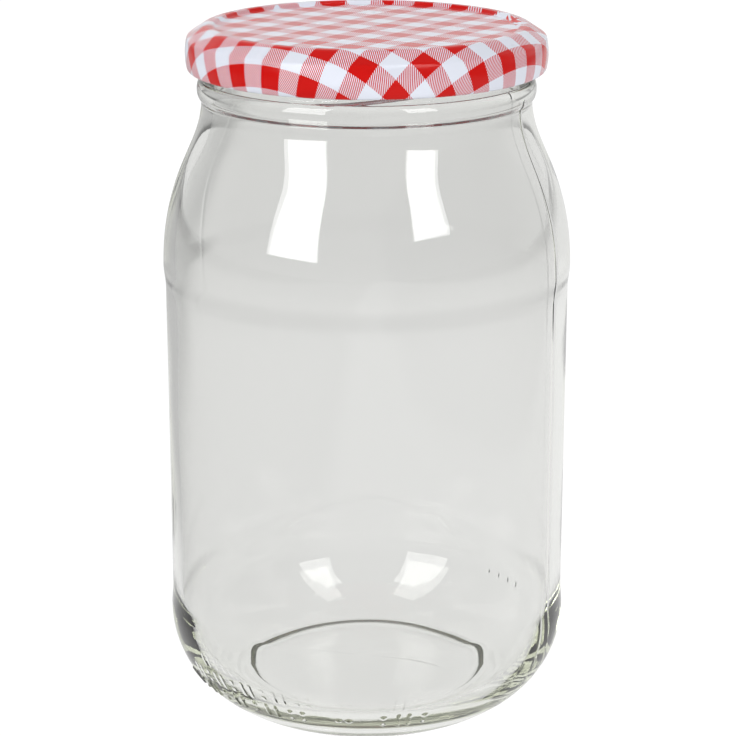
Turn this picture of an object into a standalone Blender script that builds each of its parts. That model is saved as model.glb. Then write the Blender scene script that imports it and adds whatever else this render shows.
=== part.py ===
# A clear glass canning jar with its pressed steel twist-off lid and the lid's sealing ring.
# Metres, +Z up. The origin is the centre of the ring that the jar stands on.
# Every turned outline is a list of (radius, height) points, from the inside out and down the outer side.

import math

import bmesh
import bpy

# Facets round each turned piece, and the gap that keeps neighbouring pieces apart
SEGMENTS = 52
CLEARANCE = 0.0003
MERGE_DISTANCE = 0.00005

# Jar body: two bands stand a little proud of the label panel between them
LABEL_RADIUS = 0.04867
LOW_BAND_RADIUS = 0.04904
HIGH_BAND_RADIUS = 0.04914
LOW_STEP_HEIGHT = 0.0258
HIGH_STEP_HEIGHT = 0.1082
STEP_HALF_HEIGHT = 0.0012
INNER_RADIUS = 0.0463

# Jar foot: the heel arc runs down to a narrow flat ring, and the bottom is pushed up inside it
HEEL_ARC_RADIUS = 0.02426
HEEL_ARC_HEIGHT = 0.02273
REST_RING_WIDTH = 0.0029
HOLLOW_EDGE_RADIUS = 0.0270
HOLLOW_EDGE_HEIGHT = 0.0016
HOLLOW_TILT = 8.5
FLOOR_CORNER_RADIUS = 0.0180
FLOOR_LOW_HEIGHT = 0.0050
FLOOR_TILT = 10.0

# Jar shoulder and neck: a large convex arc, then a smaller concave one up to the neck
SHOULDER_HEIGHT = 0.11126
SHOULDER_ARC_RADIUS = 0.05896
NECK_HEIGHT = 0.15018
NECK_RADIUS = 0.03917
BEAD_RADIUS = 0.04073
BEAD_HEIGHT = 0.15304
BEAD_HALF_HEIGHT = 0.00286
FINISH_RADIUS = 0.0392
RIM_HEIGHT = 0.1657

# Thread ridges on the jar's mouth: each climbs to the right of its low end
# Angles round the jar are counted from the front, -Y, to the right as seen from there
FRONT = -90.0
THREAD_COUNT = 4
THREAD_FIRST_ANGLE = -16.8
THREAD_SWEEP = 80.0
THREAD_LOW_HEIGHT = 0.1564
THREAD_CLIMB = 0.0058
THREAD_HALF_WIDTH = 0.00135
THREAD_POINTS = 15
THREAD_TAPER = 0.12
THREAD_TIP_SCALE = 0.45

# Lid: a slightly sunk panel, a raised crest, a fall to the corner, a bowed skirt and a rolled lower edge
# Angles of its faces are in degrees from +radius
SHEET = 0.00025
LID_TOP = 0.16816
PANEL_SINK = 0.00085
PANEL_RADIUS = 0.0352
CREST_RADIUS = 0.0366
CREST_BEND = 0.0030
FALL_ANGLE = 33.5
CORNER_BEND = 0.0012
SKIRT_RADIUS = 0.04286
SKIRT_HEIGHT = 0.16165
SKIRT_BEND = 0.0154
SKIRT_HALF_SWEEP = 12.4
CURL_SIZE = 0.0008
CURL_END_ANGLE = -240.0

# Lugs: short inward steps of the rolled edge that catch under the threads
LUG_COUNT = 4
LUG_FIRST_ANGLE = -32.0
LUG_LENGTH = 0.0076
LUG_INNER_RADIUS = 0.0399
LUG_OUTER_RADIUS = 0.0413
LUG_BOTTOM = 0.15785
LUG_TOP = 0.1595
LUG_BEVEL = 0.0004

# Sealing ring in the lid's channel, over the glass rim
SEAL_INNER_RADIUS = 0.0372
SEAL_OUTER_RADIUS = 0.0400


def arc(centre, radii, start, end, steps):
    """Points of a circle's or an upright ellipse's arc, ends included, angles in degrees from +radius."""
    points = []
    for step in range(steps + 1):
        angle = math.radians(start + (end - start) * step / steps)
        points.append((centre[0] + radii[0] * math.cos(angle), centre[1] + radii[1] * math.sin(angle)))
    return points


def circle_arc(centre, radius, start, end, steps):
    """Points of a circle's arc, both ends included."""
    return arc(centre, (radius, radius), start, end, steps)


def dome(edge_radius, edge_height, edge_slope, steps):
    """Points of a shallow dome from its centre on the axis out to its edge, where it slopes by edge_slope."""
    ball = edge_radius / math.sin(math.radians(edge_slope))
    centre_height = edge_height - ball * math.cos(math.radians(edge_slope))
    points = circle_arc((0.0, centre_height), ball, 90.0, 90.0 - edge_slope, steps)
    points[0] = (0.0, points[0][1])
    return points


def around(angle, radius):
    """x and y at a radius and an angle counted from the front."""
    turn = math.radians(FRONT + angle)
    return radius * math.cos(turn), radius * math.sin(turn)


def without_repeats(points):
    """The same outline with each point that repeats the one before it left out."""
    kept = [points[0]]
    for point in points[1:]:
        if math.dist(point, kept[-1]) > MERGE_DISTANCE:
            kept.append(point)
    return kept


def principled(name, colour, roughness, transmission=0.0):
    """A Principled material."""
    material = bpy.data.materials.new(name)
    material.use_nodes = True
    shader = material.node_tree.nodes["Principled BSDF"]
    shader.inputs["Base Color"].default_value = (*colour, 1.0)
    shader.inputs["Roughness"].default_value = roughness
    shader.inputs["Transmission Weight"].default_value = transmission
    shader.inputs["IOR"].default_value = 1.5
    material.diffuse_color = (*colour, 1.0)
    return material


def turned(name, outline, material, collection, closed=False):
    """A piece of revolution about +Z: an outline of edges with a Screw modifier."""
    points = without_repeats(outline)
    edges = [(index, index + 1) for index in range(len(points) - 1)]
    if closed:
        edges.append((len(points) - 1, 0))
    mesh = bpy.data.meshes.new(name)
    mesh.from_pydata([(radius, 0.0, height) for radius, height in points], edges, [])
    mesh.materials.append(material)
    piece = bpy.data.objects.new(name, mesh)
    collection.objects.link(piece)
    turn = piece.modifiers.new("Turn", "SCREW")
    turn.axis = "Z"
    turn.steps = SEGMENTS
    turn.render_steps = SEGMENTS
    turn.use_merge_vertices = True
    turn.merge_threshold = MERGE_DISTANCE
    turn.use_smooth_shade = True
    return piece


def join_collection(piece, collection):
    """Fuses a collection's solids onto a piece with one exact union."""
    union = piece.modifiers.new("Join", "BOOLEAN")
    union.operation = "UNION"
    union.solver = "EXACT"
    union.operand_type = "COLLECTION"
    union.collection = collection


def as_guide(solid):
    """Keeps a solid that is only fused onto another out of sight."""
    solid.hide_render = True
    solid.display_type = "WIRE"


def shoulder_arcs():
    """Centres, outer radii and common angle of the convex and the concave shoulder arc."""
    inset = HIGH_BAND_RADIUS - NECK_RADIUS
    rise = NECK_HEIGHT - SHOULDER_HEIGHT
    angle = 2.0 * math.atan(inset / rise)
    concave_radius = rise / math.sin(angle) - SHOULDER_ARC_RADIUS
    convex_centre = (HIGH_BAND_RADIUS - SHOULDER_ARC_RADIUS, SHOULDER_HEIGHT)
    concave_centre = (NECK_RADIUS + concave_radius, NECK_HEIGHT)
    return convex_centre, concave_centre, concave_radius, math.degrees(angle)


def jar_inside():
    """The jar's inside, from the middle of its floor up to its mouth."""
    convex_centre, concave_centre, concave_radius, angle = shoulder_arcs()
    wall = HIGH_BAND_RADIUS - INNER_RADIUS
    corner = (INNER_RADIUS - FLOOR_CORNER_RADIUS, FLOOR_LOW_HEIGHT + FLOOR_CORNER_RADIUS)
    corner_arc = circle_arc(corner, FLOOR_CORNER_RADIUS, -90.0 - FLOOR_TILT, 0.0, 6)
    floor_edge = corner_arc[0]
    outline = dome(floor_edge[0], floor_edge[1], FLOOR_TILT, 2)
    outline += corner_arc
    outline += circle_arc(convex_centre, SHOULDER_ARC_RADIUS - wall, 0.0, angle, 4)
    outline += circle_arc(concave_centre, concave_radius + wall, 180.0 + angle, 180.0, 3)
    return outline


def jar_outside(mouth_radius):
    """The jar's rim and outside, from its mouth down to the middle of its underside."""
    convex_centre, concave_centre, concave_radius, angle = shoulder_arcs()
    rim_radius = (FINISH_RADIUS - mouth_radius) / 2.0
    rim_centre = (mouth_radius + rim_radius, RIM_HEIGHT - rim_radius)
    bead_size = (BEAD_RADIUS - NECK_RADIUS, BEAD_HALF_HEIGHT)
    heel_centre = (LOW_BAND_RADIUS - HEEL_ARC_RADIUS, HEEL_ARC_HEIGHT)
    heel_angle = math.degrees(math.asin(HEEL_ARC_HEIGHT / HEEL_ARC_RADIUS))
    outline = circle_arc(rim_centre, rim_radius, 180.0, 0.0, 4)
    outline += arc((NECK_RADIUS, BEAD_HEIGHT), bead_size, 90.0, -90.0, 6)
    outline += circle_arc(concave_centre, concave_radius, 180.0, 180.0 + angle, 4)
    outline += circle_arc(convex_centre, SHOULDER_ARC_RADIUS, angle, 0.0, 5)
    outline.append((HIGH_BAND_RADIUS, HIGH_STEP_HEIGHT + STEP_HALF_HEIGHT))
    outline.append((LABEL_RADIUS, HIGH_STEP_HEIGHT - STEP_HALF_HEIGHT))
    outline.append((LABEL_RADIUS, LOW_STEP_HEIGHT + STEP_HALF_HEIGHT))
    outline.append((LOW_BAND_RADIUS, LOW_STEP_HEIGHT - STEP_HALF_HEIGHT))
    outline += circle_arc(heel_centre, HEEL_ARC_RADIUS, 0.0, -heel_angle, 7)
    rest_outer_radius = outline[-1][0]
    outline[-1] = (rest_outer_radius, 0.0)
    outline.append((rest_outer_radius - REST_RING_WIDTH, 0.0))
    outline += reversed(dome(HOLLOW_EDGE_RADIUS, HOLLOW_EDGE_HEIGHT, HOLLOW_TILT, 2))
    return outline


def thread_ridge(name, first_angle, collection):
    """One thread ridge: a round bar along a rising helix, thinner at both ends, half sunk in the glass."""
    curve = bpy.data.curves.new(name, "CURVE")
    curve.dimensions = "3D"
    curve.bevel_depth = THREAD_HALF_WIDTH
    curve.bevel_resolution = 2
    curve.use_fill_caps = True
    spline = curve.splines.new("POLY")
    spline.points.add(THREAD_POINTS - 1)
    for index, point in enumerate(spline.points):
        share = index / (THREAD_POINTS - 1)
        x, y = around(first_angle + THREAD_SWEEP * share, FINISH_RADIUS)
        point.co = (x, y, THREAD_LOW_HEIGHT + THREAD_CLIMB * share, 1.0)
        nearest_end = min(share, 1.0 - share)
        point.radius = min(1.0, THREAD_TIP_SCALE + (1.0 - THREAD_TIP_SCALE) * nearest_end / THREAD_TAPER)
    guide = bpy.data.objects.new(name + "_line", curve)
    collection.objects.link(guide)
    bpy.context.view_layer.update()
    evaluated = guide.evaluated_get(bpy.context.evaluated_depsgraph_get())
    mesh = bpy.data.meshes.new_from_object(evaluated)
    weld_mesh(mesh)
    ridge = bpy.data.objects.new(name, mesh)
    ridge.matrix_world = guide.matrix_world
    collection.objects.link(ridge)
    as_guide(ridge)
    bpy.data.objects.remove(guide)


def weld_mesh(mesh):
    """Welds the caps of a mesh made from a curve."""
    shape = bmesh.new()
    shape.from_mesh(mesh)
    bmesh.ops.remove_doubles(shape, verts=shape.verts, dist=MERGE_DISTANCE)
    bmesh.ops.recalc_face_normals(shape, faces=shape.faces)
    shape.to_mesh(mesh)
    shape.free()


def make_jar(collection, threads):
    """The glass jar: one turned body with its thread ridges fused on."""
    glass = principled("clear_glass", (0.80, 0.87, 0.85), roughness=0.03, transmission=1.0)
    inside = jar_inside()
    mouth_radius = inside[-1][0]
    jar = turned("glass_jar", inside + jar_outside(mouth_radius), glass, collection)
    for index in range(THREAD_COUNT):
        thread_ridge(f"thread_{index + 1}", THREAD_FIRST_ANGLE + index * 360.0 / THREAD_COUNT, threads)
    join_collection(jar, threads)


def lid_bends():
    """Centres of the lid's crest, corner, skirt and curl arcs, each one tangent to the next."""
    sweep = math.radians(SKIRT_HALF_SWEEP)
    fall = math.radians(FALL_ANGLE)
    skirt = (SKIRT_RADIUS - SKIRT_BEND, SKIRT_HEIGHT)
    to_corner = SKIRT_BEND - CORNER_BEND
    to_curl = SKIRT_BEND - CURL_SIZE
    corner = (skirt[0] + to_corner * math.cos(sweep), skirt[1] + to_corner * math.sin(sweep))
    curl = (skirt[0] + to_curl * math.cos(sweep), skirt[1] - to_curl * math.sin(sweep))
    crest_height = LID_TOP - CREST_BEND
    fall_height = crest_height + CREST_BEND * math.cos(fall) - corner[1] - CORNER_BEND * math.cos(fall)
    crest_radius = corner[0] + (CORNER_BEND - CREST_BEND) * math.sin(fall) - fall_height / math.tan(fall)
    return (crest_radius, crest_height), corner, skirt, curl


def lid_sheet():
    """The lid's outer face, from the middle of its panel over the rim, down the skirt and round the curl."""
    panel_height = LID_TOP - PANEL_SINK
    crest, corner, skirt, curl = lid_bends()
    tilt = 2.0 * math.atan(PANEL_SINK / (CREST_RADIUS - PANEL_RADIUS))
    bend = (CREST_RADIUS - PANEL_RADIUS) / (2.0 * math.sin(tilt))
    slope = math.degrees(tilt)
    outline = [(0.0, panel_height)]
    outline += circle_arc((PANEL_RADIUS, panel_height + bend), bend, -90.0, -90.0 + slope, 2)
    outline += circle_arc((CREST_RADIUS, LID_TOP - bend), bend, 90.0 + slope, 90.0, 2)
    outline += circle_arc(crest, CREST_BEND, 90.0, 90.0 - FALL_ANGLE, 2)
    outline += circle_arc(corner, CORNER_BEND, 90.0 - FALL_ANGLE, SKIRT_HALF_SWEEP, 2)
    outline += circle_arc(skirt, SKIRT_BEND, SKIRT_HALF_SWEEP, -SKIRT_HALF_SWEEP, 3)
    outline += circle_arc(curl, CURL_SIZE, -SKIRT_HALF_SWEEP, CURL_END_ANGLE, 6)
    return outline


def lug(name, angle, collection):
    """One lug: a small block with rounded edges, set square to the rolled edge."""
    bpy.ops.mesh.primitive_cube_add(size=1.0)
    block = bpy.context.active_object
    block.name = name
    depth = LUG_OUTER_RADIUS - LUG_INNER_RADIUS
    block.scale = (depth, LUG_LENGTH, LUG_TOP - LUG_BOTTOM)
    bpy.ops.object.transform_apply(location=False, rotation=False, scale=True)
    x, y = around(angle, (LUG_OUTER_RADIUS + LUG_INNER_RADIUS) / 2.0)
    block.location = (x, y, (LUG_TOP + LUG_BOTTOM) / 2.0)
    block.rotation_euler = (0.0, 0.0, math.radians(FRONT + angle))
    rounding = block.modifiers.new("Round", "BEVEL")
    rounding.width = LUG_BEVEL
    rounding.segments = 1
    for owner in list(block.users_collection):
        owner.objects.unlink(block)
    collection.objects.link(block)
    as_guide(block)


def make_lid(collection, lugs):
    """The lid: one pressed sheet with its lugs."""
    print_red = principled("printed_steel", (0.62, 0.03, 0.02), roughness=0.28)
    lid = turned("lid", lid_sheet(), print_red, collection)
    wall = lid.modifiers.new("Sheet", "SOLIDIFY")
    wall.thickness = SHEET
    wall.offset = -1.0
    wall.use_even_offset = True
    for index in range(LUG_COUNT):
        lug(f"lug_{index + 1}", LUG_FIRST_ANGLE + index * 360.0 / LUG_COUNT, lugs)
    join_collection(lid, lugs)


def make_sealing_ring(collection):
    """The soft ring that fills the lid's channel and meets the glass rim."""
    compound = principled("sealing_compound", (0.74, 0.70, 0.66), roughness=0.6)
    crest = lid_bends()[0]
    top_arc = circle_arc(crest, CREST_BEND - SHEET - CLEARANCE, 90.0, 90.0 - FALL_ANGLE, 2)
    bottom = RIM_HEIGHT + CLEARANCE
    fall_start = top_arc[-1]
    outer_drop = (SEAL_OUTER_RADIUS - fall_start[0]) * math.tan(math.radians(FALL_ANGLE))
    outline = [(SEAL_INNER_RADIUS, bottom), (SEAL_INNER_RADIUS, top_arc[0][1])]
    outline += top_arc
    outline += [(SEAL_OUTER_RADIUS, fall_start[1] - outer_drop), (SEAL_OUTER_RADIUS, bottom)]
    turned("sealing_ring", outline, compound, collection, closed=True)


def new_collection(name):
    """A collection in the scene."""
    collection = bpy.data.collections.new(name)
    bpy.context.scene.collection.children.link(collection)
    return collection


def main():
    for leftover in list(bpy.data.objects):
        bpy.data.objects.remove(leftover)
    parts = new_collection("canning_jar")
    threads = new_collection("thread_ridges")
    lugs = new_collection("lid_lugs")
    make_jar(parts, threads)
    make_lid(parts, lugs)
    make_sealing_ring(parts)


main()
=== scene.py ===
# An empty canning jar of clear glass with a gingham twist-off lid, closed, on a white table.
# Metres, +Z up. The jar stands at the origin and the photograph looks along +Y from -Y.
# Every turned outline is a list of (radius, height) points in the order in which it is drawn.

import math

import bpy
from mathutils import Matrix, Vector, kdtree


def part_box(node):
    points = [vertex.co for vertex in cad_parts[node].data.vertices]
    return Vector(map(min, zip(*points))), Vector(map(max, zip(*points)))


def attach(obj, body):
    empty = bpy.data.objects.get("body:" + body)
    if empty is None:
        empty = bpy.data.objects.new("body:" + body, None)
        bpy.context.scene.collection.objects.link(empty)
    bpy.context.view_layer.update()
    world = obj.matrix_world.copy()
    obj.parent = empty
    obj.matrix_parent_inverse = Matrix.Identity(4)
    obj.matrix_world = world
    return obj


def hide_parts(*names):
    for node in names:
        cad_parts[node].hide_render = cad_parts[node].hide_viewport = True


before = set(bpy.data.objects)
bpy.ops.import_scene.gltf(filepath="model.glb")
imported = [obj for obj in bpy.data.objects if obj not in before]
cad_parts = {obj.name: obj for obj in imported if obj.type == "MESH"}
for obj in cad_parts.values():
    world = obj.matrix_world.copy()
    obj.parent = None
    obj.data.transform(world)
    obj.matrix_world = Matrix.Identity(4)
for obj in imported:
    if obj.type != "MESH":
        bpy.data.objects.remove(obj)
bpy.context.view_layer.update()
MM = 0.001
AXIS = (0.0, 0.0, 0.0)

# Points of an outline nearer than the first are one, and points of a mesh nearer than the second
SAME_POINT = 0.02 * MM
MERGE_DISTANCE = 0.005 * MM

# Sizes that the frame gives: the outside of the glass and of the lid
JAR_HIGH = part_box("glass_jar")[1]
LID_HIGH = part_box("lid")[1]
BODY_RADIUS = JAR_HIGH[0]
RIM_HEIGHT = JAR_HIGH[2]
LID_TOP = LID_HIGH[2]

# Jar body: the label panel lies a little behind the band at each end of it
LABEL_RADIUS = BODY_RADIUS - 0.47 * MM
LOW_BAND_RADIUS = BODY_RADIUS - 0.10 * MM
WALL = 2.84 * MM
LOW_STEP_HEIGHT = 25.8 * MM
HIGH_STEP_HEIGHT = 108.2 * MM
STEP_HALF_HEIGHT = 2.8 * MM

# Jar foot: heel arc, narrow standing ring, pushed-up bottom, and the floor inside
HEEL_ARC_RADIUS = 24.26 * MM
HEEL_ARC_HEIGHT = 22.73 * MM
HEEL_CENTRE = (LOW_BAND_RADIUS - HEEL_ARC_RADIUS, HEEL_ARC_HEIGHT)
REST_RING_WIDTH = 2.2 * MM
REST_RING_EDGE = 0.7 * MM
HOLLOW_EDGE_RADIUS = 29.0 * MM
HOLLOW_EDGE_HEIGHT = 1.0 * MM
HOLLOW_TILT = 8.5
FLOOR_CORNER_RADIUS = 17.0 * MM
FLOOR_CORNER_RISE = 20.0 * MM
FLOOR_LOW_HEIGHT = 5.0 * MM
FLOOR_TILT = 10.0

# Jar shoulder, neck, bead under the lid, and the mouth with its threads
SHOULDER_HEIGHT = 111.26 * MM
SHOULDER_ARC_RADIUS = 62.0 * MM
SHOULDER_EASE = 6.0 * MM
SHOULDER_FINE_STEPS = 16
NECK_HEIGHT = 150.4 * MM
NECK_RADIUS = 39.17 * MM
BEAD_RADIUS = 40.3 * MM
BEAD_HEIGHT = 153.2 * MM
BEAD_HALF_HEIGHT = 2.5 * MM
BEAD_SOFTENING = 5
FINISH_RADIUS = 39.2 * MM
RIM_ROUND_HEIGHT = 2.0 * MM
THREAD_COUNT = 4
THREAD_FIRST_ANGLE = -16.8
THREAD_SWEEP = 80.0
THREAD_LOW_HEIGHT = 156.4 * MM
THREAD_CLIMB = 5.8 * MM
THREAD_HALF_WIDTH = 1.3 * MM
THREAD_TAPER = 9.0
THREAD_END_WIDTH = 0.35

# Slow waves all over the inside of the glass, calm at the rim, and quick ones low down, gone by their top
SLOW_WAVE = 0.14 * MM
SLOW_WAVE_SIZE = 22.0 * MM
SLOW_WAVE_FADE = 30.0 * MM
QUICK_WAVE = 0.09 * MM
QUICK_WAVE_SIZE = 5.0 * MM
QUICK_WAVE_TOP = 26.0 * MM

# Two mould seams, each raised from a narrow strip of mesh; the far one and the low part are faint
JAR_STEPS = 119
SEAM_ANGLE = 64.6
SEAM_STRIP = 0.30
SEAM_HEIGHT = 0.045 * MM
SEAM_LOW_END = 2.0 * MM
SEAM_FADE_HEIGHT = 92.0 * MM
SEAM_FADE = 12.0 * MM
SEAM_LOW_SHARE = 0.3
FAR_SEAM_SHARE = 0.2

# Plain raised marks round the heel: azimuth in degrees, then the kind; the ticks stand higher, at the back.
# A shape is its half length and half width; "dots" is two dots, each that far from the middle.
MARK_HEIGHT = 0.35 * MM
MARK_SOFT_EDGE = 0.28 * MM
MARK_SHAPES = {
    "bar": (2.0 * MM, 0.30 * MM),
    "dot": (0.0, 0.55 * MM),
    "dots": (1.4 * MM, 0.45 * MM),
    "tick": (0.35 * MM, 0.22 * MM),
}
MARK_ARC_ANGLE = 33.0
MARKS = (
    (-68.0, "bar"), (-64.8, "bar"), (-60.5, "dots"), (-56.5, "bar"), (-53.3, "bar"), (-48.5, "dots"),
    (-44.0, "bar"), (-40.8, "bar"), (-36.0, "dots"), (-31.5, "bar"), (-28.3, "bar"), (-23.5, "dots"),
    (-19.5, "dots"), (-8.5, "dot"), (-5.4, "dot"), (5.0, "dots"), (9.5, "bar"), (12.7, "bar"),
    (17.5, "dots"),
)
TICK_ARC_ANGLE = 15.5
TICKS = (120.5, 125.4, 130.2, 134.8)
MARK_PLACES = [(angle, MARK_ARC_ANGLE, kind) for angle, kind in MARKS]
MARK_PLACES += [(angle, TICK_ARC_ANGLE, "tick") for angle in TICKS]

# Finer mesh round each mark, to each side of it: degrees round the jar, and down the heel's arc
MARK_PATCH = (4.0, 8.0)
TICK_PATCH = (2.0, 4.0)
HEEL_TOLERANCE = 0.3 * MM

# Lid: slightly sunk panel, raised crest, a fall to the corner, bowed skirt and rolled edge
SHEET = 0.25 * MM
PANEL_SINK = 0.85 * MM
PANEL_RADIUS = 35.2 * MM
CREST_RADIUS = 36.6 * MM
CREST_BEND = 3.0 * MM
FALL_ANGLE = 33.5
CORNER_BEND = 1.2 * MM
SKIRT_RADIUS = 42.86 * MM
SKIRT_HEIGHT = 161.65 * MM
SKIRT_BEND = 15.4 * MM
SKIRT_HALF_SWEEP = 12.4
CURL_SIZE = 0.8 * MM
CURL_END_ANGLE = -240.0
LUG_COUNT = 4
LUG_FIRST_ANGLE = -32.0
LUG_HALF_SWEEP = 5.1
LUG_REACH = 1.2 * MM

# Lining ring under the lid's crest
RING_INNER_RADIUS = 37.2 * MM
RING_EDGE = 0.25 * MM

# Glass: how far it bends light, its colour with depth, and how fast that comes, per metre
GLASS_IOR = 1.5
GLASS_DEPTH_COLOUR = (0.80, 0.84, 0.62, 1.0)
GLASS_DENSITY = 12.0

# Gingham: the check was printed on the flat sheet, which the press then drew down over the rim
PANEL_STRETCH = 1.0
WALL_STRETCH = 0.30
SKIRT_STRETCH = 0.96
PRINT_SHEET = 120.0 * MM
CHECK_PERIOD = 9.917 * MM
CHECK_ANGLE = -34.1
CHECK_ORIGIN = (-0.585 * MM, -6.556 * MM)
HATCH_LINES = 16.0
PRINT_RED = (0.61, 0.004, 0.002, 1.0)
PRINT_WHITE = (0.8, 0.83, 0.92, 1.0)

# Camera, fitted to the photograph
CAMERA_PLACE = (0.0003, -0.5665, 0.2567)
CAMERA_DROP = 17.02
CAMERA_LENS = 117.99
CAMERA_SENSOR = 36.0
CAMERA_REACH = 20.0

# Soft lights: degrees from the front, half the width, low edge and high edge, all in degrees as seen from a
# point on the jar's axis. The softboxes are only mirrored and seen through glass; the fills only light.
LIGHT_HEIGHT = 0.1
LIGHT_DISTANCE = 0.9
SOFTBOX_RADIANCE = 5.5
FILL_RADIANCE = 5.3
SOFTBOXES = {"left_softbox": (-41.5, 14.5, 7.0, 60.0), "right_softbox": (37.5, 10.5, 16.5, 64.0)}
FILLS = {"left_fill": (-41.5, 14.5, 7.4, 57.0), "right_fill": (37.5, 10.5, 20.0, 57.0)}
LIGHT_BOUNCES = 24

# Table: it glows rather than being lit, a painted light; its glow levels as the glass sees them, a painted
# pool of light round the jar and painted shade at the front, sides and far left, and the places between which
# each eases into the next
TABLE_RADIUS = 4.0
TABLE_RIM = 2.0
TABLE_DROP = 0.2 * MM
TABLE_LEVEL = 0.88
TABLE_BACK = (0.28, 0.46)
TABLE_FRONT = (-0.80, -0.50)
TABLE_FRONT_SHARE = 0.9
TABLE_SIDE = (0.7, 1.3)
TABLE_SIDE_SHARE = 0.4
LEFT_SHADE = 0.62
LEFT_EDGE = (-0.13, -0.065)
LEFT_EDGE_SLANT = 0.084
CAMERA_WHITE = 1.05

# Room: a bright wall behind the jar, by the direction's depth and height, and a dimmer rest
BACKDROP_LEVEL = 0.80
ROOM_LEVEL = 0.40
WALL_DEPTH = (-0.1, 0.55)
WALL_TOP = (0.35, 0.80)


def select_nothing():
    """Leaves no object selected."""
    bpy.ops.object.select_all(action="DESELECT")


def edit(piece):
    """Goes into edit mode on one piece alone."""
    select_nothing()
    piece.select_set(True)
    bpy.context.view_layer.objects.active = piece
    bpy.ops.object.mode_set(mode="EDIT")


def done():
    """Goes back to object mode."""
    bpy.ops.object.mode_set(mode="OBJECT")


def start_choice(piece, kind):
    """Clears a piece's selection, so that its points or faces can be chosen in object mode."""
    edit(piece)
    bpy.ops.mesh.select_mode(type=kind)
    bpy.ops.mesh.select_all(action="DESELECT")
    done()


def arc(centre, radii, start, end, steps):
    """Points of an upright ellipse's arc, both ends included, angles in degrees from +radius."""
    points = []
    for step in range(steps + 1):
        angle = math.radians(start + (end - start) * step / steps)
        points.append((centre[0] + radii[0] * math.cos(angle), centre[1] + radii[1] * math.sin(angle)))
    return points


def circle_arc(centre, radius, start, end, steps):
    """Points of a circle's arc, both ends included."""
    return arc(centre, (radius, radius), start, end, steps)


def straight(start, end, steps):
    """Points of a straight line, both ends included."""
    points = []
    for step in range(steps + 1):
        share = step / steps
        points.append((start[0] + (end[0] - start[0]) * share, start[1] + (end[1] - start[1]) * share))
    return points


def soft_step(start, end, steps):
    """Points of a smooth step from one radius to another, along the height."""
    points = []
    for step in range(steps + 1):
        share = step / steps
        eased = share * share * (3.0 - 2.0 * share)
        points.append((start[0] + (end[0] - start[0]) * eased, start[1] + (end[1] - start[1]) * share))
    return points


def dome(edge_radius, edge_height, edge_slope, steps):
    """Points of a shallow dome from its middle on the axis to its edge, where it slopes by edge_slope."""
    ball = edge_radius / math.sin(math.radians(edge_slope))
    middle_height = edge_height - ball * math.cos(math.radians(edge_slope))
    points = circle_arc((0.0, middle_height), ball, 90.0, 90.0 - edge_slope, steps)
    points[0] = (0.0, points[0][1])
    return points


def without_repeats(points):
    """The same outline with each point that repeats the one before it left out."""
    kept = [points[0]]
    for point in points[1:]:
        if math.dist(point, kept[-1]) > SAME_POINT:
            kept.append(point)
    return kept


def draw_outline(name, points):
    """Draws an outline in the plane of X and Z by pulling one point along, and stays in edit mode."""
    select_nothing()
    bpy.ops.mesh.primitive_plane_add(size=0.01, location=AXIS)
    piece = bpy.context.active_object
    piece.name = name
    piece.data.name = name
    bpy.ops.object.mode_set(mode="EDIT")
    bpy.ops.mesh.select_mode(type="VERT")
    bpy.ops.mesh.select_all(action="SELECT")
    bpy.ops.mesh.merge(type="CENTER")
    bpy.ops.transform.translate(value=(points[0][0], 0.0, points[0][1]))
    for before, after in zip(points, points[1:]):
        pull = {"value": (after[0] - before[0], 0.0, after[1] - before[1])}
        bpy.ops.mesh.extrude_region_move(TRANSFORM_OT_translate=pull)
    return piece


def spin_outline(turns):
    """Spins the drawn outline round the jar's axis, in turns of (steps, degrees), and closes the seam."""
    bpy.ops.mesh.select_all(action="SELECT")
    for steps, degrees in turns:
        bpy.ops.mesh.spin(steps=steps, angle=math.radians(degrees), center=AXIS, axis=(0.0, 0.0, 1.0))
    bpy.ops.mesh.select_all(action="SELECT")
    bpy.ops.mesh.remove_doubles(threshold=MERGE_DISTANCE)
    bpy.ops.mesh.normals_make_consistent(inside=False)
    done()


def azimuth(place):
    """Degrees round the jar from the front, -Y, to the right as seen from there."""
    return math.degrees(math.atan2(place.x, -place.y))


def turned_from(angle, start):
    """How many degrees an azimuth lies past another, from -180 to 180."""
    return (angle - start + 180.0) % 360.0 - 180.0


def radius_of(place):
    """Distance of a point from the jar's axis."""
    return math.hypot(place.x, place.y)


def outline_numbers(piece, outline):
    """For each point of a turned piece, the number of the outline's point that it was spun from."""
    tree = kdtree.KDTree(len(outline))
    for number, point in enumerate(outline):
        tree.insert(Vector((point[0], 0.0, point[1])), number)
    tree.balance()
    numbers = []
    for vertex in piece.data.vertices:
        found = tree.find(Vector((radius_of(vertex.co), 0.0, vertex.co.z)))
        numbers.append(found[1])
    return numbers


def weigh(piece, name, weights):
    """Adds a vertex group from a dictionary of point number and weight."""
    group = piece.vertex_groups.new(name=name)
    for number, weight in weights.items():
        group.add([number], weight, "REPLACE")


def press(piece, group, amount, texture=None, middle=0.0):
    """Moves a group's points out along their normals by amount, through an applied Displace modifier."""
    select_nothing()
    piece.select_set(True)
    bpy.context.view_layer.objects.active = piece
    bpy.ops.object.modifier_add(type="DISPLACE")
    raise_up = piece.modifiers[-1]
    raise_up.vertex_group = group
    raise_up.strength = amount
    raise_up.mid_level = middle
    raise_up.texture = texture
    raise_up.texture_coords = "LOCAL"
    bpy.ops.object.modifier_apply(modifier=raise_up.name)


def cloud(name, size):
    """A soft cloud texture for slow waves in a surface."""
    texture = bpy.data.textures.new(name, "CLOUDS")
    texture.noise_scale = size
    texture.noise_depth = 1
    return texture


def smooth(piece):
    """Shades a piece smooth all over."""
    select_nothing()
    piece.select_set(True)
    bpy.context.view_layer.objects.active = piece
    bpy.ops.object.shade_smooth()


# Outlines

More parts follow.
